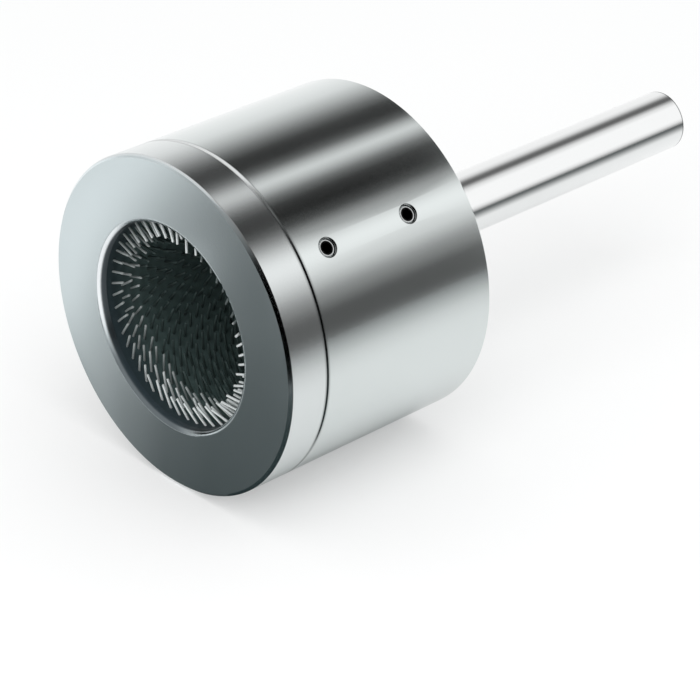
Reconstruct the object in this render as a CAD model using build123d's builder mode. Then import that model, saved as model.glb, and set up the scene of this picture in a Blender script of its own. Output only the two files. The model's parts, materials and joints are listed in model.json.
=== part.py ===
from build123d import *
from math import cos, sin, sqrt, radians
import os

os.makedirs("parts", exist_ok=True)

# A tube-end brush for a rotary tool, in millimetres. The tool axis is X. The shank leaves
# the body's rear face at x = 0 and runs towards +X, and the mouth faces -X.

# Body
body_diameter = 32.0
housing_length = 20.1
flange_width = 4.3
web_thickness = 4.6
front_chamfer = 0.3
rear_chamfer = 0.4
parting_chamfer = 0.12

# Shank
shank_diameter = 6.0
shank_length = 41.5
shank_chamfer = 0.5
shank_seat_diameter = 6.6
shank_head_diameter = 9.0
shank_head_thickness = 1.2

# Brush cartridge
mouth_diameter = 19.5
mouth_rounding = 0.5
lip_thickness = 0.8
sleeve_wall = 1.5
sleeve_end_gap = 0.4
sleeve_chamfer = 0.4
fit_clearance = 0.03

# Foundation that the wires are set in: fabric plies outside, a rubber facing inside
fabric_thickness = 0.8
rubber_thickness = 0.5
lip_overhang = 0.05
seam_width = 0.15
seam_angle = 68.0

# Internal retaining ring behind the foundation
ring_thickness = 0.8
ring_groove_depth = 0.5
ring_depth_of_face = 1.0
ring_groove_clearance = 0.05
ring_end_wall = 0.8
ring_gap_angle = 16.0
ring_ear_turn = 4.0
ring_ear_radius = 0.95
ring_ear_hole_radius = 0.4

# Wires: bent into two-legged staples, set in staggered rings of wires
wire_diameter = 0.24
tip_circle_diameter = 15.8
row_count = 16
wires_per_row = 50
first_row_inset = 1.05
last_row_inset = 0.4
wire_side_lean = 22.5
wire_forward_lean = 11.0

# Set screws that clamp the cartridge
screw_radius = 0.84
screw_clearance = 0.03
screw_recess = 0.18
screw_point_gap = 0.02
screw_edge = 0.12
screw_point_chamfer = 0.25
socket_across_flats = 0.9
socket_depth = 1.1
countersink_width = 0.1
screw_angle = 141.5
front_screw_inset = 3.25
rear_screw_inset = 2.3

# Places along the axis
parting_x = -housing_length
mouth_x = parting_x - flange_width
sleeve_end_x = -web_thickness - sleeve_end_gap
lip_x = mouth_x + lip_thickness
ring_end_x = sleeve_end_x - ring_end_wall
ring_start_x = ring_end_x - ring_thickness
foundation_end_x = ring_start_x - ring_groove_clearance

# Radii from the axis outwards
body_radius = body_diameter / 2
shank_radius = shank_diameter / 2
shank_seat_radius = shank_seat_diameter / 2
shank_head_radius = shank_head_diameter / 2
mouth_radius = mouth_diameter / 2
rubber_inner = mouth_radius + lip_overhang
fabric_inner = rubber_inner + rubber_thickness
fabric_outer = fabric_inner + fabric_thickness
sleeve_inner = fabric_outer + wire_diameter
sleeve_outer = sleeve_inner + sleeve_wall
housing_bore = sleeve_outer + fit_clearance


# A turned piece: a closed profile of (x, radius) points, revolved about the tool axis
def turned(points):
    with BuildPart() as piece:
        with BuildSketch(Plane.XY):
            with BuildLine():
                Polyline(*points, close=True)
            make_face()
        revolve(axis=Axis.X)
    return piece.part


# The direction across the axis at an angle from +Y towards +Z
def across(angle):
    return Vector(0, cos(radians(angle)), sin(radians(angle)))


def write(piece, name):
    piece.label = name
    export_step(piece, f"parts/{name}.step")


# Housing: a cup with a rear web that the shank passes through
head_seat_x = shank_head_thickness - web_thickness
screw_hole_radius = screw_radius + screw_clearance
screw_hole_depth = body_radius - housing_bore + screw_radius
screw_places = [parting_x + front_screw_inset, sleeve_end_x - rear_screw_inset]

with BuildPart() as housing:
    add(
        turned(
            [
                (parting_x, housing_bore + parting_chamfer),
                (parting_x, body_radius - parting_chamfer),
                (parting_x + parting_chamfer, body_radius),
                (-rear_chamfer, body_radius),
                (0, body_radius - rear_chamfer),
                (0, shank_seat_radius),
                (head_seat_x, shank_seat_radius),
                (head_seat_x, shank_head_radius),
                (-web_thickness, shank_head_radius),
                (-web_thickness, housing_bore),
                (parting_x + parting_chamfer, housing_bore),
            ]
        )
    )
    for place in screw_places:
        surface = across(screw_angle) * body_radius + Vector(place, 0, 0)
        with Locations(Plane(origin=surface, x_dir=(1, 0, 0), z_dir=across(screw_angle))):
            CounterSinkHole(
                radius=screw_hole_radius,
                counter_sink_radius=screw_hole_radius + countersink_width,
                depth=screw_hole_depth,
            )
write(housing.part, "housing")

# Shank: a round bar with a thicker seat pressed in the web, and a head on its inside
shank = turned(
    [
        (-web_thickness, 0),
        (-web_thickness, shank_head_radius),
        (head_seat_x, shank_head_radius),
        (head_seat_x, shank_seat_radius),
        (0, shank_seat_radius),
        (0, shank_radius),
        (shank_length - shank_chamfer, shank_radius),
        (shank_length, shank_radius - shank_chamfer),
        (shank_length, 0),
    ]
)
write(shank, "shank")

# Flanged sleeve: the front ring of the body, with the sleeve that carries the brush
groove_radius = sleeve_inner + ring_groove_depth
groove_start_x = ring_start_x - ring_groove_clearance
groove_end_x = ring_end_x + ring_groove_clearance
with BuildPart() as flanged_sleeve:
    add(
        turned(
            [
                (mouth_x, mouth_radius),
                (mouth_x, body_radius - front_chamfer),
                (mouth_x + front_chamfer, body_radius),
                (parting_x - parting_chamfer, body_radius),
                (parting_x, body_radius - parting_chamfer),
                (parting_x, sleeve_outer),
                (sleeve_end_x - sleeve_chamfer, sleeve_outer),
                (sleeve_end_x, sleeve_outer - sleeve_chamfer),
                (sleeve_end_x, sleeve_inner),
                (groove_end_x, sleeve_inner),
                (groove_end_x, groove_radius),
                (groove_start_x, groove_radius),
                (groove_start_x, sleeve_inner),
                (lip_x, sleeve_inner),
                (lip_x, mouth_radius),
            ]
        )
    )
    face_rims = flanged_sleeve.edges().filter_by(GeomType.CIRCLE).group_by(Axis.X)[0]
    fillet(face_rims.sort_by(SortBy.RADIUS)[0], mouth_rounding)
write(flanged_sleeve.part, "flanged_sleeve")


# A layer of the foundation: a strip rolled into a tube, with a seam along the axis
def rolled_layer(inner, outer, name):
    with BuildPart() as layer:
        with BuildSketch(Plane.YZ.offset(lip_x)):
            Circle(outer)
            Circle(inner, mode=Mode.SUBTRACT)
            with Locations(Rotation(0, 0, seam_angle)):
                with Locations(((inner + outer) / 2, 0)):
                    Rectangle(outer - inner + wire_diameter, seam_width, mode=Mode.SUBTRACT)
        extrude(amount=foundation_end_x - lip_x)
    write(layer.part, name)


rolled_layer(fabric_inner, fabric_outer, "fabric_backing")
rolled_layer(rubber_inner, fabric_inner, "rubber_facing")

# Retaining ring: an open ring with two eared ends, in the groove behind the foundation
ring_outer = groove_radius - ring_groove_clearance
ring_inner = sleeve_inner - ring_depth_of_face
ear_turn = ring_gap_angle / 2 + ring_ear_turn
with BuildPart() as retaining_ring:
    with BuildSketch(Plane.YZ.offset(ring_start_x)):
        Circle(ring_outer)
        Circle(ring_inner, mode=Mode.SUBTRACT)
        with BuildLine(mode=Mode.PRIVATE) as gap_outline:
            Polyline(
                (0, 0),
                Vector(body_radius, 0).rotate(Axis.Z, seam_angle - ring_gap_angle / 2),
                Vector(body_radius, 0).rotate(Axis.Z, seam_angle + ring_gap_angle / 2),
                close=True,
            )
        make_face(gap_outline.edges(), mode=Mode.SUBTRACT)
        for turn in (seam_angle - ear_turn, seam_angle + ear_turn):
            with Locations(Vector(ring_inner, 0).rotate(Axis.Z, turn)):
                Circle(ring_ear_radius)
                Circle(ring_ear_hole_radius, mode=Mode.SUBTRACT)
    extrude(amount=ring_thickness)
write(retaining_ring.part, "retaining_ring")

# Rows of wires: the staples' crowns lie between the fabric and the sleeve, as one ring for
# each row, and their legs reach inwards through both layers
crown_radius = sleeve_inner - wire_diameter / 2
side = sin(radians(wire_side_lean))
inward = cos(radians(wire_side_lean))
axis_distance = crown_radius * side
wire_length = crown_radius * inward - sqrt((tip_circle_diameter / 2) ** 2 - axis_distance**2)
forward = -sin(radians(wire_forward_lean))


def wire_row(phase):
    legs = []
    for number in range(wires_per_row):
        angle = phase + 360.0 * number / wires_per_row
        lean = across(angle + 90) * side - across(angle) * inward + Vector(forward, 0, 0)
        legs.append(Plane(origin=across(angle) * crown_radius, z_dir=lean))
    with BuildPart() as row:
        with BuildSketch(Plane.YZ.offset(-wire_diameter / 2)):
            Circle(crown_radius + wire_diameter / 2)
            Circle(crown_radius - wire_diameter / 2, mode=Mode.SUBTRACT)
        extrude(amount=wire_diameter)
        with Locations(*legs):
            Cylinder(
                wire_diameter / 2,
                wire_length,
                align=(Align.CENTER, Align.CENTER, Align.MIN),
            )
    return row.part


# Every second row is turned by half the spacing of its wires
wire_spacing = 360.0 / wires_per_row
row_kinds = [wire_row(seam_angle + wire_spacing * share) for share in (0.25, 0.75)]
first_crown_x = lip_x + first_row_inset
row_pitch = (foundation_end_x - last_row_inset - first_crown_x) / (row_count - 1)
for row_number in range(row_count):
    crown_x = first_crown_x + row_pitch * row_number
    placed_row = row_kinds[row_number % 2].moved(Location((crown_x, 0, 0)))
    write(placed_row, f"wire_row_{row_number + 1:02d}")

# Set screws: hexagon socket, cup point, one above each end of the sleeve
screw_foot = sleeve_outer + screw_point_gap
screw_length = body_radius - screw_recess - screw_foot


def set_screw(place, name):
    foot = across(screw_angle) * screw_foot + Vector(place, 0, 0)
    base = Plane(origin=foot, x_dir=(1, 0, 0), z_dir=across(screw_angle))
    with BuildPart() as screw:
        with BuildSketch(base):
            Circle(screw_radius)
        extrude(amount=screw_length)
        rims = screw.edges().filter_by(GeomType.CIRCLE).sort_by(base.location.z_axis)
        chamfer(rims[-1], screw_edge)
        chamfer(rims[0], screw_point_chamfer)
        with BuildSketch(base.offset(screw_length)):
            RegularPolygon(socket_across_flats / 2, 6, major_radius=False)
        extrude(amount=-socket_depth, mode=Mode.SUBTRACT)
    write(screw.part, name)


set_screw(screw_places[0], "front_set_screw")
set_screw(screw_places[1], "rear_set_screw")
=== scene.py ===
import json
import math
import random

import bmesh
import bpy
from mathutils import Matrix, Vector


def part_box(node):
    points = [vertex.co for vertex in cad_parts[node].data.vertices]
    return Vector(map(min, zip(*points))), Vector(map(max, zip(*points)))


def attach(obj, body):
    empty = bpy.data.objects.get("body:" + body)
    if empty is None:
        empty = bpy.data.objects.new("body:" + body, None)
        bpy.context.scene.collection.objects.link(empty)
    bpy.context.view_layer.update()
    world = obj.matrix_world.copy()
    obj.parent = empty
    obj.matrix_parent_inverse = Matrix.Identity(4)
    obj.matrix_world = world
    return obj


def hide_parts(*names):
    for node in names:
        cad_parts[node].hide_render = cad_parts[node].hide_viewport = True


# Tube brush: turned steel cup on a plain shank, wires pointing into the bore.
# Metres. The tool axis is X, the mouth faces -X and the brush lies on its side.

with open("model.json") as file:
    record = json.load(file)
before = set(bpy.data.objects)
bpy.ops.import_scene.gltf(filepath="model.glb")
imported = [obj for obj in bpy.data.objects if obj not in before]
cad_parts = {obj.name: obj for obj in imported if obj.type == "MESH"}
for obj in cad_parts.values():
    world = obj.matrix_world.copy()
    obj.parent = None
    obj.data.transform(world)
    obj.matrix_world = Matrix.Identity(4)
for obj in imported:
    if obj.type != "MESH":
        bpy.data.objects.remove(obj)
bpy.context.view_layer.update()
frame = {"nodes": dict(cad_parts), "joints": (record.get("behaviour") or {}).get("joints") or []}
nodes = frame["nodes"]
print("frame loaded:", len(nodes), "pieces")

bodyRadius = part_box("housing")[1].z
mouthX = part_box("flanged_sleeve")[0].x
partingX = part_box("housing")[0].x
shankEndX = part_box("shank")[1].x
floorZ = -bodyRadius
screwAxis = next(joint["axis"] for joint in frame["joints"] if joint["name"] == "front_screw_out")


# camera

camera = {
    "azimuth": -43.17,       # degrees round the tool, as the photograph stands
    "elevation": 28.74,
    "distance": 15.71,       # in body radii, from the mouth's centre, as are the next two
    "sideways": 0.998,
    "upwards": -0.121,
    "lens": 146.5,
    "sensor": 36.0,
    "clip": (0.01, 20),
}


def makeCamera():
    azimuth, elevation = math.radians(camera["azimuth"]), math.radians(camera["elevation"])
    back = Vector((math.sin(azimuth) * math.cos(elevation),
                   -math.cos(azimuth) * math.cos(elevation), math.sin(elevation)))
    right = Vector((math.cos(azimuth), math.sin(azimuth), 0))
    place = back * camera["distance"] + right * camera["sideways"]
    place += back.cross(right) * camera["upwards"]
    data = bpy.data.cameras.new("camera")
    data.lens = camera["lens"]
    data.sensor_width = camera["sensor"]
    data.clip_start, data.clip_end = camera["clip"]
    obj = bpy.data.objects.new("camera", data)
    obj.location = place * bodyRadius + Vector((mouthX, 0, 0))
    obj.rotation_mode = "QUATERNION"
    obj.rotation_quaternion = (-back).to_track_quat("-Z", "Y")
    bpy.context.scene.collection.objects.link(obj)
    bpy.context.scene.camera = obj


makeCamera()
print("camera set")


# node helpers

def addNode(tree, kind, **settings):
    node = tree.nodes.new(kind)
    for name, value in settings.items():
        setattr(node, name, value)
    return node


def link(tree, fromSocket, toSocket):
    tree.links.new(fromSocket, toSocket)


# A value, or another node's output, given to a socket
def feed(tree, item, socket):
    if isinstance(item, bpy.types.NodeSocket):
        link(tree, item, socket)
    else:
        socket.default_value = item


def mathNode(tree, operation, first, second=None):
    node = addNode(tree, "ShaderNodeMath", operation=operation)
    feed(tree, first, node.inputs[0])
    if second is not None:
        feed(tree, second, node.inputs[1])
    return node.outputs[0]


def product(tree, first, *others):
    for other in others:
        first = mathNode(tree, "MULTIPLY", first, other)
    return first


def vectorNode(tree, operation, first, second=None):
    node = addNode(tree, "ShaderNodeVectorMath", operation=operation)
    link(tree, first, node.inputs[0])
    if second is not None:
        link(tree, second, node.inputs[1])
    return node.outputs["Value" if operation in ("LENGTH", "DOT_PRODUCT") else "Vector"]


def axesOf(tree, vector):
    parts = addNode(tree, "ShaderNodeSeparateXYZ")
    link(tree, vector, parts.inputs[0])
    return [parts.outputs[axis] for axis in "XYZ"]


# A value led from one range to another, held at its ends
def fade(tree, value, start, stop, low, high, way="SMOOTHSTEP"):
    node = addNode(tree, "ShaderNodeMapRange", interpolation_type=way)
    for label, item in (("Value", value), ("From Min", start), ("From Max", stop),
                        ("To Min", low), ("To Max", high)):
        feed(tree, item, node.inputs[label])
    return node.outputs["Result"]


# Greys along a value, by stops of (place, grey)
def greys(tree, value, stops):
    first, last = stops[0][0], stops[-1][0]
    ramp = addNode(tree, "ShaderNodeValToRGB")
    link(tree, fade(tree, value, first, last, 0, 1, "LINEAR"), ramp.inputs["Fac"])
    elements = ramp.color_ramp.elements
    elements.remove(elements[1])
    for index, (place, grey) in enumerate(stops):
        share = (place - first) / (last - first)
        element = elements[0] if index == 0 else elements.new(share)
        element.position = share
        element.color = (grey, grey, grey, 1)
    return ramp.outputs["Color"]


# Two numbers mixed by a share, or two colours with the kind RGBA
def blend(tree, share, first, second, kind="FLOAT"):
    node = addNode(tree, "ShaderNodeMix", data_type=kind)
    for label, item in (("Factor", share), ("A", first), ("B", second)):
        feed(tree, item, node.inputs[label])
    return node.outputs["Result"]


def mixShaders(tree, share, first, second):
    mix = addNode(tree, "ShaderNodeMixShader")
    for index, socket in enumerate((share, first, second)):
        link(tree, socket, mix.inputs[index])
    return mix.outputs[0]


# Noise over a vector, or along a number
def noise(tree, place, scale, detail, roughness=0.5, along=False):
    node = addNode(tree, "ShaderNodeTexNoise", noise_dimensions="1D" if along else "3D")
    link(tree, place, node.inputs["W" if along else "Vector"])
    for label, item in (("Scale", scale), ("Detail", detail), ("Roughness", roughness)):
        feed(tree, item, node.inputs[label])
    return node.outputs["Fac"]


# An empty node group with its vector inputs, number inputs and outputs
def newGroup(name, vectors, numbers, outputs):
    tree = bpy.data.node_groups.new(name, "ShaderNodeTree")
    for label in vectors:
        tree.interface.new_socket(label, in_out="INPUT", socket_type="NodeSocketVector")
    for label, value in numbers.items():
        socket = tree.interface.new_socket(label, in_out="INPUT", socket_type="NodeSocketFloat")
        socket.default_value = value
    for label in outputs:
        tree.interface.new_socket(label, in_out="OUTPUT", socket_type="NodeSocketFloat")
    entry, leave = addNode(tree, "NodeGroupInput"), addNode(tree, "NodeGroupOutput")
    return tree, entry.outputs, leave.inputs


# node groups that the finishes share

lathe = {
    "faceShare": 1.7,           # rings on a face, for each one on the side
    "detail": 3.0, "roughness": 0.65, "blotchDetail": 4.0,
    "toneRange": (0.3, 0.7),    # where the mean of rings and blotches lies
    "depth": 0.00001,
}
nearSide = (-0.004, -0.003)     # how deep under its place a spot still marks


# Lathe marks: fine rings round the tool axis, on the side and on the faces alike
def makeLatheMarks():
    tree, given, out = newGroup("latheMarks", ["Vector"],
                                {"Rings Per Metre": 9000.0, "Blotch Scale": 60.0},
                                ["Rings", "Blotches"])
    x, y, z = axesOf(tree, given["Vector"])
    squares = mathNode(tree, "ADD", product(tree, y, y), product(tree, z, z))
    outwards = product(tree, mathNode(tree, "SQRT", squares), lathe["faceShare"])
    along = product(tree, mathNode(tree, "ADD", outwards, x), given["Rings Per Metre"])
    rings = noise(tree, along, 1.0, lathe["detail"], lathe["roughness"], along=True)
    blotches = noise(tree, given["Vector"], given["Blotch Scale"], lathe["blotchDetail"])
    link(tree, rings, out["Rings"])
    link(tree, blotches, out["Blotches"])
    return tree


# A narrow band round the tool axis at one place along it, 1 in its middle and 0 outside
def makeRingBand():
    tree, given, out = newGroup("ringBand", ["Vector"],
                                {"Place": 0.0, "Core": 0.0001, "Reach": 0.0002}, ["Mask"])
    x = axesOf(tree, given["Vector"])[0]
    away = mathNode(tree, "ABSOLUTE", mathNode(tree, "SUBTRACT", x, given["Place"]))
    link(tree, fade(tree, away, given["Core"], given["Reach"], 1, 0), out["Mask"])
    return tree


# A round spot about an axis that points outwards at a place, 1 inside and 0 outside
def makeSpot():
    tree, given, out = newGroup("spot", ["Vector", "Place", "Axis"],
                                {"Core": 0.0005, "Reach": 0.0006}, ["Mask"])
    away = vectorNode(tree, "SUBTRACT", given["Vector"], given["Place"])
    distance = vectorNode(tree, "LENGTH", vectorNode(tree, "CROSS_PRODUCT", away, given["Axis"]))
    outward = vectorNode(tree, "DOT_PRODUCT", away, given["Axis"])
    disc = fade(tree, distance, given["Core"], given["Reach"], 1, 0)
    link(tree, product(tree, disc, fade(tree, outward, *nearSide, 0, 1)), out["Mask"])
    return tree


# An arc of a round mark, taken by how far a point lies towards one side of the tool axis
def makeArc():
    tree, given, out = newGroup("arc", ["Vector", "Towards"], {"From": 0.01, "To": 0.012}, ["Mask"])
    towards = vectorNode(tree, "DOT_PRODUCT", given["Vector"], given["Towards"])
    link(tree, fade(tree, towards, given["From"], given["To"], 0, 1), out["Mask"])
    return tree


latheMarks = makeLatheMarks()
ringBand = makeRingBand()
spot = makeSpot()
arc = makeArc()


# material helpers

def newMaterial(name):
    material = bpy.data.materials.new(name)
    material.use_nodes = True
    return material, material.node_tree, material.node_tree.nodes["Principled BSDF"]


def objectCoordinates(tree):
    return addNode(tree, "ShaderNodeTexCoord").outputs["Object"]


def useGroup(tree, group, coordinates, values):
    node = addNode(tree, "ShaderNodeGroup", node_tree=group)
    link(tree, coordinates, node.inputs["Vector"])
    for label, value in values.items():
        node.inputs[label].default_value = value
    return node.outputs


# Each colour is three numbers, or another node's output
def mixedColour(tree, share, first, second):
    pair = [(*item, 1) if isinstance(item, tuple) else item for item in (first, second)]
    return blend(tree, share, *pair, kind="RGBA")


def addBump(tree, shader, height, strength, distance):
    bump = addNode(tree, "ShaderNodeBump")
    bump.inputs["Strength"].default_value = strength
    bump.inputs["Distance"].default_value = distance
    link(tree, height, bump.inputs["Height"])
    link(tree, bump.outputs["Normal"], shader.inputs["Normal"])


def dress(name, material):
    obj = nodes[name]
    obj.data.materials.clear()
    obj.data.materials.append(material)


# steel pieces

# Lathe marks all over, and laid over them the marks of the piece's own edges and holes, some of
# them painted highlights and painted shade
def turnedSteel(name, look):
    material, tree, shader = newMaterial(name)
    coordinates = objectCoordinates(tree)
    marks = useGroup(tree, latheMarks, coordinates,
                     {"Rings Per Metre": look["rings"], "Blotch Scale": look["blotch"]})
    tone = product(tree, mathNode(tree, "ADD", marks["Rings"], marks["Blotches"]), 0.5)
    colour = mixedColour(tree, tone, look["dark"], look["light"])
    roughness = fade(tree, tone, *lathe["toneRange"], *look["rough"], "LINEAR")
    metallic = 1.0
    for mark in look["marks"]:
        values = {label: mark[label] for label in ("Place", "Axis", "Core", "Reach")
                  if label in mark}
        mask = useGroup(tree, mark["kind"], coordinates, values)["Mask"]
        share = product(tree, mask, mark["strength"])
        if "arc" in mark:
            share = product(tree, share, useGroup(tree, arc, coordinates, mark["arc"])["Mask"])
        colour = mixedColour(tree, share, colour, mark["tint"])
        roughness = blend(tree, share, roughness, mark["rough"])
        if "metallic" in mark:
            metallic = blend(tree, share, metallic, mark["metallic"])
    link(tree, colour, shader.inputs["Base Color"])
    link(tree, roughness, shader.inputs["Roughness"])
    feed(tree, metallic, shader.inputs["Metallic"])
    addBump(tree, shader, marks["Rings"], look["bump"], lathe["depth"])
    return material


partingGrime = {"kind": ringBand, "Place": partingX, "Core": 0.00008, "Reach": 0.00038,
                "tint": (0.05, 0.055, 0.055), "rough": 0.3, "strength": 0.52}
# painted highlights: light matt arcs along the top of two edges. They are painted where the
# photograph has its highlights, so they stay there under any light. For bare steel, leave them
# out of the marks
highlightArc = {"kind": ringBand, "rough": 0.6, "metallic": 0.0,
            "arc": {"Towards": (0, 0.087, 0.996), "From": 0.0128, "To": 0.0147}}
partingEdgeHighlight = {**highlightArc, "Place": partingX, "Core": 0.00010, "Reach": 0.00026,
               "tint": (0.70, 0.71, 0.71), "strength": 0.9}
faceEdgeHighlight = {**highlightArc, "Place": mouthX + 0.00020, "Core": 0.00003, "Reach": 0.00011,
            "tint": (0.66, 0.68, 0.69), "strength": 0.5}
# the flange's side is less blue than its face
flangeSide = {"kind": ringBand, "Place": mouthX + 0.00235, "Core": 0.00205, "Reach": 0.00220,
              "tint": (0.86, 0.885, 0.88), "rough": 0.21, "strength": 0.8}
# the mouth's rounded rim: a painted highlight on one side and a painted shade below, placed in
# the same way, and darker all round inside
rim = {"kind": spot, "Place": (mouthX, 0, 0), "Axis": (1, 0, 0), "rough": 0.5}
rimHighlight = {**rim, "Core": 0.01008, "Reach": 0.01021, "tint": (0.88, 0.90, 0.92),
            "strength": 0.85, "metallic": 0.0,
            "arc": {"Towards": (0, 0.966, 0.259), "From": 0.0071, "To": 0.0091}}
rimShade = {**rim, "Core": 0.01020, "Reach": 0.01028, "tint": (0.05, 0.065, 0.075),
           "strength": 0.9, "metallic": 0.0,
           "arc": {"Towards": (0, 0.407, -0.914), "From": 0.0066, "To": 0.0092}}
rimInnerDark = {**rim, "Core": 0.00978, "Reach": 0.00990, "tint": (0.02, 0.035, 0.045),
            "strength": 0.92}
# the turned chamfer at the shank's end: rougher, and painted dark all round as shade
shankChamferShade = {"kind": ringBand, "Place": shankEndX - 0.0002, "Core": 0.00038,
                "Reach": 0.00046, "tint": (0.20, 0.21, 0.21), "rough": 0.3, "strength": 0.85}


def middleOf(name):
    low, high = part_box(name)
    return (Vector(low) + Vector(high)) / 2


# A thin painted shadow round a set screw's hole, and a painted highlight on its edge inside it
def holeShadowAndHighlight(name):
    hole = {"kind": spot, "Place": middleOf(name), "Axis": screwAxis}
    return [
        {**hole, "Core": 0.00093, "Reach": 0.00096, "tint": (0.03, 0.03, 0.03), "rough": 0.3,
         "strength": 0.95},
        {**hole, "Core": 0.00088, "Reach": 0.00090, "tint": (0.75, 0.78, 0.78), "rough": 0.25,
         "strength": 1.0},
    ]


# The painted shade in a set screw's socket
def socketShade(name):
    return {"kind": spot, "Place": middleOf(name), "Axis": screwAxis, "Core": 0.00060,
            "Reach": 0.00068, "tint": (0.01, 0.01, 0.01), "rough": 0.6, "strength": 1.0}


housingLook = {
    "light": (0.86, 0.905, 0.90), "dark": (0.79, 0.835, 0.83), "rough": (0.11, 0.16),
    "rings": 9000, "blotch": 90, "bump": 0.03,
    "marks": [partingGrime, partingEdgeHighlight, *holeShadowAndHighlight("front_set_screw"),
              *holeShadowAndHighlight("rear_set_screw")],
}
flangeLook = {
    "light": (0.81, 0.89, 0.91), "dark": (0.73, 0.81, 0.83), "rough": (0.15, 0.21),
    "rings": 7000, "blotch": 90, "bump": 0.03,
    "marks": [flangeSide, partingGrime, partingEdgeHighlight, faceEdgeHighlight, rimHighlight, rimShade, rimInnerDark],
}
shankLook = {
    "light": (0.95, 0.96, 0.96), "dark": (0.90, 0.91, 0.91), "rough": (0.09, 0.13),
    "rings": 12000, "blotch": 120, "bump": 0.02, "marks": [shankChamferShade],
}
screwLook = {
    "light": (0.80, 0.82, 0.82), "dark": (0.60, 0.62, 0.62), "rough": (0.2, 0.3),
    "rings": 12000, "blotch": 900, "bump": 0.1,
}
ringLook = {
    "light": (0.12, 0.13, 0.13), "dark": (0.06, 0.065, 0.065), "rough": (0.35, 0.5),
    "rings": 12000, "blotch": 900, "bump": 0.1, "marks": [],
}

dress("housing", turnedSteel("housingSteel", housingLook))
dress("flanged_sleeve", turnedSteel("flangeSteel", flangeLook))
dress("shank", turnedSteel("shankSteel", shankLook))
dress("retaining_ring", turnedSteel("springSteel", ringLook))
for name in ("front_set_screw", "rear_set_screw"):
    dress(name, turnedSteel("steel_" + name, {**screwLook, "marks": [socketShade(name)]}))


# layers of the foundation

# Darker at the mouth, as painted shade under the lip, and dusty deeper in
def foundationLayer(name, look):
    material, tree, shader = newMaterial(name)
    coordinates = objectCoordinates(tree)
    grain = noise(tree, coordinates, look["grain"], look["detail"])
    colour = mixedColour(tree, grain, look["dark"], look["light"])
    x = axesOf(tree, coordinates)[0]
    lipShade = fade(tree, x, mouthX + look["lipShadeFrom"], mouthX + look["lipShadeTo"], 1.0, 0.0)
    link(tree, mixedColour(tree, lipShade, colour, look["lipShadeColour"]), shader.inputs["Base Color"])
    shader.inputs["Roughness"].default_value = look["rough"]
    addBump(tree, shader, grain, look["bump"], look["bumpDistance"])
    return material


# the colour near the mouth is painted shade under the lip
layerLook = {"detail": 5.0, "lipShadeFrom": 0.001, "lipShadeTo": 0.005, "bump": 0.4,
             "bumpDistance": 0.00003}
rubberLook = {**layerLook, "light": (0.105, 0.158, 0.152), "dark": (0.076, 0.117, 0.113),
              "lipShadeColour": (0.02, 0.034, 0.040), "rough": 0.6, "grain": 2500}
fabricLook = {**layerLook, "light": (0.06, 0.07, 0.065), "dark": (0.03, 0.035, 0.032),
              "lipShadeColour": (0.02, 0.03, 0.03), "rough": 0.9, "grain": 4000}
dress("rubber_facing", foundationLayer("rubberFacing", rubberLook))
dress("fabric_backing", foundationLayer("fabricPlies", fabricLook))
print("finishes set")


# wires

wires = {
    "rows": 16, "perRow": 50,
    "radius": 0.00012, "sides": 6, "lengths": 4,
    "crownRadius": 0.01122, "tipRadius": 0.0079,    # from the tool axis
    "sideLean": 22.5, "forwardLean": 11.0,
    "firstAngle": 68.0, "stagger": (0.75, 0.25),    # of the spacing, for even and odd rows
    "bend": 0.00022, "uneven": 0.00025,             # how far a tip strays, and lengths differ
    "tipTaper": 0.7, "tipLength": 0.3,              # of the wire's radius
    "weld": 0.0000001,
}
wireLook = {
    "light": (0.94, 0.98, 0.98), "dark": (0.80, 0.85, 0.85), "grain": 1800, "detail": 3.0,
    "rough": 0.40, "metallic": 0.4, "bump": 0.1, "bumpDistance": 0.00001,
    # deeper in the bore the wires are darkened as painted shade
    "deepShade": (0.048, 0.073, 0.070), "deepRough": 0.7, "deepFrom": 0.0014, "deepTo": 0.0042,
    # darker towards two sides of the bore, painted after the photograph's shade
    "darkSides": [{"arc": {"Towards": (0, 1, 0), "From": 0.0025, "To": 0.0070}, "share": 0.6},
                  {"arc": {"Towards": (0, -0.731, 0.682), "From": 0.0070, "To": 0.0076},
                   "share": 0.9}],
}


def across(degrees):
    return Vector((0, math.cos(math.radians(degrees)), math.sin(math.radians(degrees))))


# Bright at the mouth; deeper in, darker as painted shade, and dull with oil and dust
def drawnWire(name, look):
    material, tree, shader = newMaterial(name)
    coordinates = objectCoordinates(tree)
    grain = noise(tree, coordinates, look["grain"], look["detail"])
    bright = mixedColour(tree, grain, look["dark"], look["light"])
    x = axesOf(tree, coordinates)[0]
    depth = fade(tree, x, mouthX + look["deepFrom"], mouthX + look["deepTo"], 0, 1)
    wireShade = depth
    for side in look["darkSides"]:
        dark = product(tree, useGroup(tree, arc, coordinates, side["arc"])["Mask"], side["share"])
        wireShade = mathNode(tree, "MAXIMUM", wireShade, dark)
    roughness = fade(tree, depth, 0, 1, look["rough"], look["deepRough"])
    link(tree, mixedColour(tree, wireShade, bright, look["deepShade"]), shader.inputs["Base Color"])
    link(tree, roughness, shader.inputs["Roughness"])
    link(tree, fade(tree, depth, 0, 1, look["metallic"], 0.0), shader.inputs["Metallic"])
    addBump(tree, shader, grain, look["bump"], look["bumpDistance"])
    return material


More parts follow.
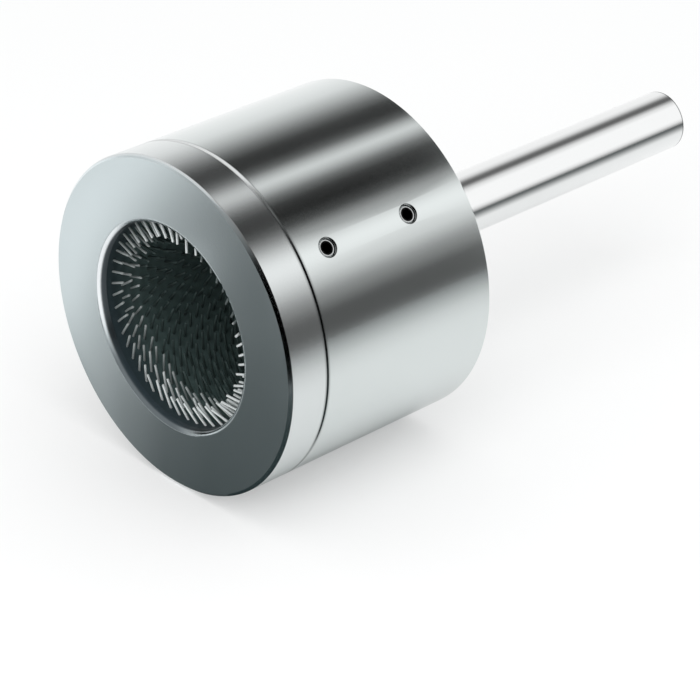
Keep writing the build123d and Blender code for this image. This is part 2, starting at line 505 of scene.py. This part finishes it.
def addWire(build, place, angle, chance):
    side = math.sin(math.radians(wires["sideLean"]))
    inward = math.cos(math.radians(wires["sideLean"]))
    forward = math.sin(math.radians(wires["forwardLean"]))
    start = across(angle) * wires["crownRadius"] + Vector((place, 0, 0))
    run = across(angle + 90) * side - across(angle) * inward - Vector((forward, 0, 0))
    run.normalize()
    reach = wires["crownRadius"] * inward
    reach -= math.sqrt(wires["tipRadius"] ** 2 - (wires["crownRadius"] * side) ** 2)
    reach += chance.uniform(-1, 1) * wires["uneven"]
    stray = Vector((chance.uniform(-1, 1), chance.uniform(-1, 1), chance.uniform(-1, 1)))
    stray = (stray - run * stray.dot(run)) * wires["bend"]
    turn = run.to_track_quat("Z", "Y").to_matrix().to_4x4()
    ring = bmesh.ops.create_circle(build, segments=wires["sides"], radius=wires["radius"],
                                   cap_ends=False, matrix=Matrix.Translation(start) @ turn)["verts"]
    bmesh.ops.contextual_create(build, geom=ring)
    edges = list({edge for vert in ring for edge in vert.link_edges})
    steps = wires["lengths"]
    for step in range(steps):
        grown = bmesh.ops.extrude_edge_only(build, edges=edges)["geom"]
        ring = [item for item in grown if isinstance(item, bmesh.types.BMVert)]
        edges = [item for item in grown if isinstance(item, bmesh.types.BMEdge)
                 and all(vert in ring for vert in item.verts)]
        bent = stray * (((step + 1) / steps) ** 2 - (step / steps) ** 2)
        bmesh.ops.translate(build, verts=ring, vec=run * (reach / steps) + bent)
    tip = bmesh.ops.extrude_edge_only(build, edges=edges)["geom"]
    ring = [item for item in tip if isinstance(item, bmesh.types.BMVert)]
    centre = sum((vert.co for vert in ring), Vector()) / len(ring)
    bmesh.ops.scale(build, verts=ring, vec=(wires["tipTaper"],) * 3,
                    space=Matrix.Translation(-centre))
    bmesh.ops.translate(build, verts=ring, vec=run * wires["radius"] * wires["tipLength"])
    bmesh.ops.contextual_create(build, geom=ring)


# The crowns of a row's staples, behind the fabric
def addCrowns(build, place):
    circle = bmesh.ops.create_circle(
        build, segments=wires["sides"], radius=wires["radius"],
        matrix=Matrix.Translation((place, wires["crownRadius"], 0)))["verts"]
    edges = list({edge for vert in circle for edge in vert.link_edges})
    bmesh.ops.spin(build, geom=circle + edges, cent=(0, 0, 0), axis=(1, 0, 0), dvec=(0, 0, 0),
                   angle=math.tau, steps=wires["perRow"], use_merge=True, use_duplicate=False)


def makeWireRow(number, material):
    node = f"wire_row_{number:02d}"
    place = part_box(node)[1].x - wires["radius"]
    spacing = 360 / wires["perRow"]
    first = wires["firstAngle"] + spacing * wires["stagger"][number % 2]
    chance = random.Random(number)
    build = bmesh.new()
    addCrowns(build, place)
    for count in range(wires["perRow"]):
        addWire(build, place, first + spacing * count, chance)
    bmesh.ops.remove_doubles(build, verts=build.verts, dist=wires["weld"])
    bmesh.ops.recalc_face_normals(build, faces=build.faces)
    for face in build.faces:
        face.smooth = len(face.verts) == 4
        if not face.smooth:
            for edge in face.edges:
                edge.smooth = False
    name = f"wires_{number:02d}"
    mesh = bpy.data.meshes.new(name)
    build.to_mesh(mesh)
    build.free()
    mesh.materials.append(material)
    obj = bpy.data.objects.new(name, mesh)
    bpy.context.scene.collection.objects.link(obj)
    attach(obj, "brush_cartridge")
    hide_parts(node)


brightWire = drawnWire("brightWire", wireLook)
for number in range(1, wires["rows"] + 1):
    makeWireRow(number, brightWire)
print("wires made:", wires["rows"] * wires["perRow"])


# studio

studio = {
    "floorSize": 3.0,
    "floorColour": (0.895, 0.895, 0.895),
    "floorRough": 0.9,
    "floorGlow": 0.35,    # for the camera alone
    "worldColour": (0.99, 1.0, 1.0),
    "worldStrength": 0.85,
}


def onlyInReflections(obj):
    obj.visible_camera = False
    obj.visible_diffuse = False
    obj.visible_shadow = False
    obj.visible_transmission = False
    obj.visible_volume_scatter = False


def stagePiece(name, build, material):
    mesh = bpy.data.meshes.new(name)
    build.to_mesh(mesh)
    build.free()
    mesh.materials.append(material)
    obj = bpy.data.objects.new(name, mesh)
    bpy.context.scene.collection.objects.link(obj)
    return obj


# A material for the pieces that only reflections show. It glows with a grey, or plainly, and
# where a share is given it lets the rest of the light through
def glowing(name, grey=None, share=None, strength=0.0, colour=(1, 1, 1)):
    material, tree, shader = newMaterial(name)
    tree.nodes.remove(shader)
    material.cycles.emission_sampling = "NONE"
    x, y, z = axesOf(tree, objectCoordinates(tree))
    glow = addNode(tree, "ShaderNodeEmission")
    glow.inputs["Color"].default_value = (*colour, 1)
    feed(tree, grey(tree, x, y, z) if grey else strength, glow.inputs["Strength"])
    shown = glow.outputs[0]
    if share:
        clear = addNode(tree, "ShaderNodeBsdfTransparent")
        shown = mixShaders(tree, share(tree, x, y), clear.outputs[0], shown)
    link(tree, shown, tree.nodes["Material Output"].inputs["Surface"])
    return material


# The canopy is a half tunnel over the tool axis, with dark and light bands along it. Its angle
# runs from the back over the top to the front; one set of bands is for the body, one for the shank
canopy = {
    "radius": 0.10, "start": -0.45, "end": 0.5, "from": -9.0, "to": 189.0, "steps": 48,
    "shankFrom": 0.0775, "shankTo": 0.0805, "frontFrom": -0.010, "frontTo": 0.0,
    "bodyBands": [(-9, 0.98), (5, 0.93), (17, 0.88), (29, 0.79), (41, 0.51), (53, 0.18),
                  (61, 0.045), (70, 0.03), (77, 0.11), (82, 0.47), (87, 0.80), (92, 0.50),
                  (97, 0.17), (103, 0.035), (111, 0.015), (118, 0.06), (125, 0.34), (128, 0.54),
                  (131, 0.74), (134.5, 0.90), (138, 0.98), (142, 0.95), (149, 0.78), (161, 0.31),
                  (173, 0.09), (183, 0.095), (189, 0.16)],
    "shankBands": [(-9, 0.95), (37, 0.92), (52, 0.72), (68, 0.20), (76, 0.12), (84, 0.16),
                   (92, 0.45), (100, 0.76), (115, 1.0), (168, 1.0), (178, 0.80), (189, 0.25)],
    # ahead of the mouth, for its rounded rim, and beside that for the outer edge of the face
    "rimBands": [(-9, 0.02), (16, 0.05), (40, 0.05), (62, 0.08), (90, 0.11), (110, 0.15),
                 (124, 0.20), (140, 0.22), (189, 0.45)],
    "edgeBands": [(-9, 0.98), (11, 0.98), (22, 0.68), (34, 0.70), (46, 0.74), (60, 0.50),
                  (75, 0.42), (92, 0.36), (108, 0.20), (125, 0.06), (150, 0.06), (168, 0.25),
                  (180, 0.55), (189, 0.70)],
    "edgeSlant": 0.00098, "edgeFrom": -0.039, "edgeTo": -0.029,
}


def canopyGrey(tree, x, y, z):
    fromTop = mathNode(tree, "ARCTAN2", product(tree, y, -1.0), z)
    angle = mathNode(tree, "ADD", mathNode(tree, "DEGREES", fromTop), 90.0)
    bands = {kind: greys(tree, angle, canopy[kind])
             for kind in ("bodyBands", "shankBands", "rimBands", "edgeBands")}
    atShank = fade(tree, x, canopy["shankFrom"], canopy["shankTo"], 0, 1)
    over = blend(tree, atShank, bands["bodyBands"], bands["shankBands"])
    slanted = mathNode(tree, "ADD", x, product(tree, angle, canopy["edgeSlant"]))
    atEdge = fade(tree, slanted, canopy["edgeFrom"], canopy["edgeTo"], 0, 1)
    front = blend(tree, atEdge, bands["rimBands"], bands["edgeBands"])
    ahead = fade(tree, x, canopy["frontFrom"], canopy["frontTo"], 1, 0)
    return blend(tree, ahead, over, front)


def makeCanopy():
    build = bmesh.new()
    radius = canopy["radius"]
    first = math.radians(canopy["from"])
    corners = [build.verts.new((x, radius * math.cos(first), radius * math.sin(first)))
               for x in (canopy["start"], canopy["end"])]
    edge = build.edges.new(corners)
    bmesh.ops.spin(build, geom=[edge, *corners], cent=(0, 0, 0), axis=(1, 0, 0), dvec=(0, 0, 0),
                   angle=math.radians(canopy["to"] - canopy["from"]), steps=canopy["steps"],
                   use_duplicate=False)
    onlyInReflections(stagePiece("canopy", build, glowing("canopy", grey=canopyGrey)))


makeCanopy()

# Small black flags near the mouth, by their corners
flags = [
    {"name": "flagBehind", "corners": [
        (-0.029, 0.047, -0.002), (-0.030, 0.047, 0.004), (-0.0365, 0.047, 0.015),
        (-0.046, 0.047, 0.031), (-0.060, 0.047, 0.047), (-0.115, 0.047, 0.085),
        (-0.115, 0.047, -0.002)]},
    {"name": "flagFront", "corners": [
        (-0.05, -0.095, -0.0155), (-0.05, -0.021, -0.0155), (-0.05, -0.021, 0.032),
        (-0.05, -0.090, 0.032)]},
]


def makeFlag(flag):
    build = bmesh.new()
    corners = [build.verts.new(corner) for corner in flag["corners"]]
    edges = [build.edges.new(pair) for pair in zip(corners, corners[1:] + corners[:1])]
    bmesh.ops.edgenet_fill(build, edges=edges)
    onlyInReflections(stagePiece(flag["name"], build, glowing(flag["name"])))


for flag in flags:
    makeFlag(flag)

# A shade over the floor, seen in reflections only. Ahead of the mouth it darkens what the front
# face mirrors, and beside the body and the shank it carries their bands down
floorShade = {
    "low": (-0.45, -0.0985), "high": (0.5, 0.0985), "lift": 0.0003,
    "glow": 0.012, "glowColour": (0, 0.9, 1),
    "ahead": (mouthX + 0.0008, mouthX + 0.0014),    # where the shade for the face begins
    # in body radii: darkness across lines that slant less with distance
    "face": [(-0.9, 0.905), (-0.3, 0.894), (0.1, 0.852), (0.5, 0.729), (0.85, 0.487),
             (1.2, 0.121), (1.5, 0.137), (1.8, 0.283), (2.2, 0.371), (2.8, 0.661), (3.5, 0.95)],
    "slant": (1.16, 0.116),
    # lighter where the face has its mouth and mirrors nothing, for the mouth's rounded rim
    "mouth": {"sideways": 1.0667, "upwards": 0.8, "radius": (0.50, 0.58), "half": (-0.10, 0.15),
              "share": 0.15},
    # light outside a bent edge, and dark again beyond a straight line
    "edge": {"bend": (-0.447, -0.202, 0.428), "limit": 1.6, "soft": 0.20, "least": 0.05},
    "line": {"slope": 1.2, "start": 0.38, "soft": 0.07, "share": 0.97},
    # beside the body and the shank, by the place across
    "body": [(-0.0985, 0.78), (-0.077, 0.66), (-0.058, 0.50), (-0.047, 0.35), (-0.034, 0.22),
             (-0.020, 0.16), (0.0, 0.12), (0.020, 0.0)],
    "shank": [(-0.0985, 0.80), (-0.088, 0.86), (-0.065, 0.90), (-0.042, 0.76), (-0.030, 0.55),
              (-0.018, 0.16), (0.0, 0.06), (0.020, 0.0)],
    "shankSlant": 0.75, "shankFrom": -0.004, "shankTo": 0.0,
    # dark patches behind the mouth, for its rim, and behind the shank, for its end's chamfer
    "rimPatch": {"near": (0.010, 0.013), "slant": 2.2, "from": (-0.047, -0.045),
                 "to": (-0.001, 0.001), "share": 0.95},
    "endPatch": {"near": (0.010, 0.013), "far": (0.027, 0.031), "from": (0.061, 0.065),
                 "share": 0.75},
}


# Ahead of the mouth
def faceShade(tree, x, y):
    beside = mathNode(tree, "DIVIDE", y, bodyRadius)
    ahead = mathNode(tree, "DIVIDE", mathNode(tree, "SUBTRACT", mouthX, x), bodyRadius)
    slope, curve = floorShade["slant"]
    slant = mathNode(tree, "SUBTRACT", slope, product(tree, ahead, curve))
    slanted = mathNode(tree, "SUBTRACT", beside, product(tree, ahead, slant))
    share = greys(tree, slanted, floorShade["face"])

    mouth = floorShade["mouth"]
    sideways = mathNode(tree, "SUBTRACT", beside, product(tree, ahead, mouth["sideways"]))
    upwards = mathNode(tree, "SUBTRACT", product(tree, ahead, mouth["upwards"]), 1)
    squares = mathNode(tree, "ADD", product(tree, sideways, sideways),
                       product(tree, upwards, upwards))
    inMouth = product(tree, fade(tree, mathNode(tree, "SQRT", squares), *mouth["radius"], 1, 0),
                      fade(tree, sideways, *mouth["half"], 0, 1))
    share = blend(tree, inMouth, share, mouth["share"])

    edge = floorShade["edge"]
    start, rise, curve = edge["bend"]
    bent = mathNode(tree, "ADD", product(tree, ahead, curve), rise)
    bent = mathNode(tree, "ADD", product(tree, ahead, bent), start)
    bent = mathNode(tree, "MINIMUM", bent, edge["limit"])
    within = mathNode(tree, "SUBTRACT", beside, bent)
    share = product(tree, share, fade(tree, within, -edge["soft"], 0, edge["least"], 1))

    line = floorShade["line"]
    beyond = mathNode(tree, "ADD", product(tree, ahead, line["slope"]), beside)
    beyond = mathNode(tree, "ADD", beyond, line["start"])
    dark = fade(tree, beyond, -line["soft"], line["soft"], line["share"], 0.0)
    return mathNode(tree, "MAXIMUM", share, dark)


# Beside the body and the shank
def sideShade(tree, x, y):
    slanted = mathNode(tree, "ADD", x, product(tree, y, floorShade["shankSlant"]))
    atShank = fade(tree, slanted, floorShade["shankFrom"], floorShade["shankTo"], 0, 1)
    return blend(tree, atShank, greys(tree, y, floorShade["body"]),
                 greys(tree, y, floorShade["shank"]))


def rimPatch(tree, x, y):
    patch = floorShade["rimPatch"]
    slanted = mathNode(tree, "ADD", y, product(tree, x, patch["slant"]))
    return product(tree, fade(tree, y, *patch["near"], 0, patch["share"]),
                   fade(tree, slanted, *patch["from"], 0, 1), fade(tree, x, *patch["to"], 1, 0))


def endPatch(tree, x, y):
    patch = floorShade["endPatch"]
    return product(tree, fade(tree, x, *patch["from"], 0, patch["share"]),
                   fade(tree, y, *patch["near"], 0, 1), fade(tree, y, *patch["far"], 1, 0))


def shadeShare(tree, x, y):
    ahead = fade(tree, x, *floorShade["ahead"], 1, 0)
    share = blend(tree, ahead, sideShade(tree, x, y), faceShade(tree, x, y))
    share = mathNode(tree, "MAXIMUM", share, rimPatch(tree, x, y))
    return mathNode(tree, "MAXIMUM", share, endPatch(tree, x, y))


def makeFloorShade():
    low, high = floorShade["low"], floorShade["high"]
    height = floorZ + floorShade["lift"]
    build = bmesh.new()
    corners = [(low[0], low[1]), (high[0], low[1]), (high[0], high[1]), (low[0], high[1])]
    verts = [build.verts.new((*corner, height)) for corner in corners]
    bmesh.ops.contextual_create(build, geom=verts)
    material = glowing("floorShade", share=shadeShare, strength=floorShade["glow"],
                       colour=floorShade["glowColour"])
    onlyInReflections(stagePiece("floorShade", build, material))


makeFloorShade()


def makeFloor():
    build = bmesh.new()
    bmesh.ops.create_grid(build, x_segments=1, y_segments=1, size=studio["floorSize"] / 2,
                          matrix=Matrix.Translation((0, 0, floorZ)))
    material, tree, shader = newMaterial("floorPaper")
    material.cycles.emission_sampling = "NONE"
    shader.inputs["Base Color"].default_value = (*studio["floorColour"], 1)
    shader.inputs["Roughness"].default_value = studio["floorRough"]
    shader.inputs["Specular IOR Level"].default_value = 0.0
    path = addNode(tree, "ShaderNodeLightPath")
    glow = addNode(tree, "ShaderNodeEmission")
    share = product(tree, path.outputs["Is Camera Ray"], studio["floorGlow"])
    shown = mixShaders(tree, share, shader.outputs[0], glow.outputs[0])
    link(tree, shown, tree.nodes["Material Output"].inputs["Surface"])
    stagePiece("floor", build, material)


makeFloor()


def makeWorld():
    world = bpy.data.worlds.new("studio")
    bpy.context.scene.world = world
    world.use_nodes = True
    tree = world.node_tree
    surround = tree.nodes["Background"]
    surround.inputs["Color"].default_value = (*studio["worldColour"], 1)
    surround.inputs["Strength"].default_value = studio["worldStrength"]
    seen = addNode(tree, "ShaderNodeBackground")
    seen.inputs["Color"].default_value = (1, 1, 1, 1)
    path = addNode(tree, "ShaderNodeLightPath")
    share = mathNode(tree, "MAXIMUM", path.outputs["Is Camera Ray"], path.outputs["Is Glossy Ray"])
    shown = mixShaders(tree, share, surround.outputs[0], seen.outputs[0])
    link(tree, shown, tree.nodes["World Output"].inputs["Surface"])


makeWorld()

softboxes = [
    {"name": "softboxAbove", "place": (-0.1, -0.25, 0.5), "target": (0, 0, 0), "size": 0.5,
     "power": 1.2},
    {"name": "softboxAhead", "place": (-0.27, -0.08, 0.14), "target": (-0.02, 0, 0),
     "size": 0.12, "power": 0.18},
]


def makeLight(box):
    data = bpy.data.lights.new(box["name"], "AREA")
    data.shape = "SQUARE"
    data.size = box["size"]
    data.energy = box["power"]
    obj = bpy.data.objects.new(box["name"], data)
    obj.location = box["place"]
    obj.rotation_mode = "QUATERNION"
    aim = Vector(box["target"]) - Vector(box["place"])
    obj.rotation_quaternion = aim.to_track_quat("-Z", "Y")
    obj.visible_glossy = False
    obj.visible_camera = False
    bpy.context.scene.collection.objects.link(obj)


for box in softboxes:
    makeLight(box)
print("studio set")

scene = bpy.context.scene
scene.view_settings.view_transform = "Standard"
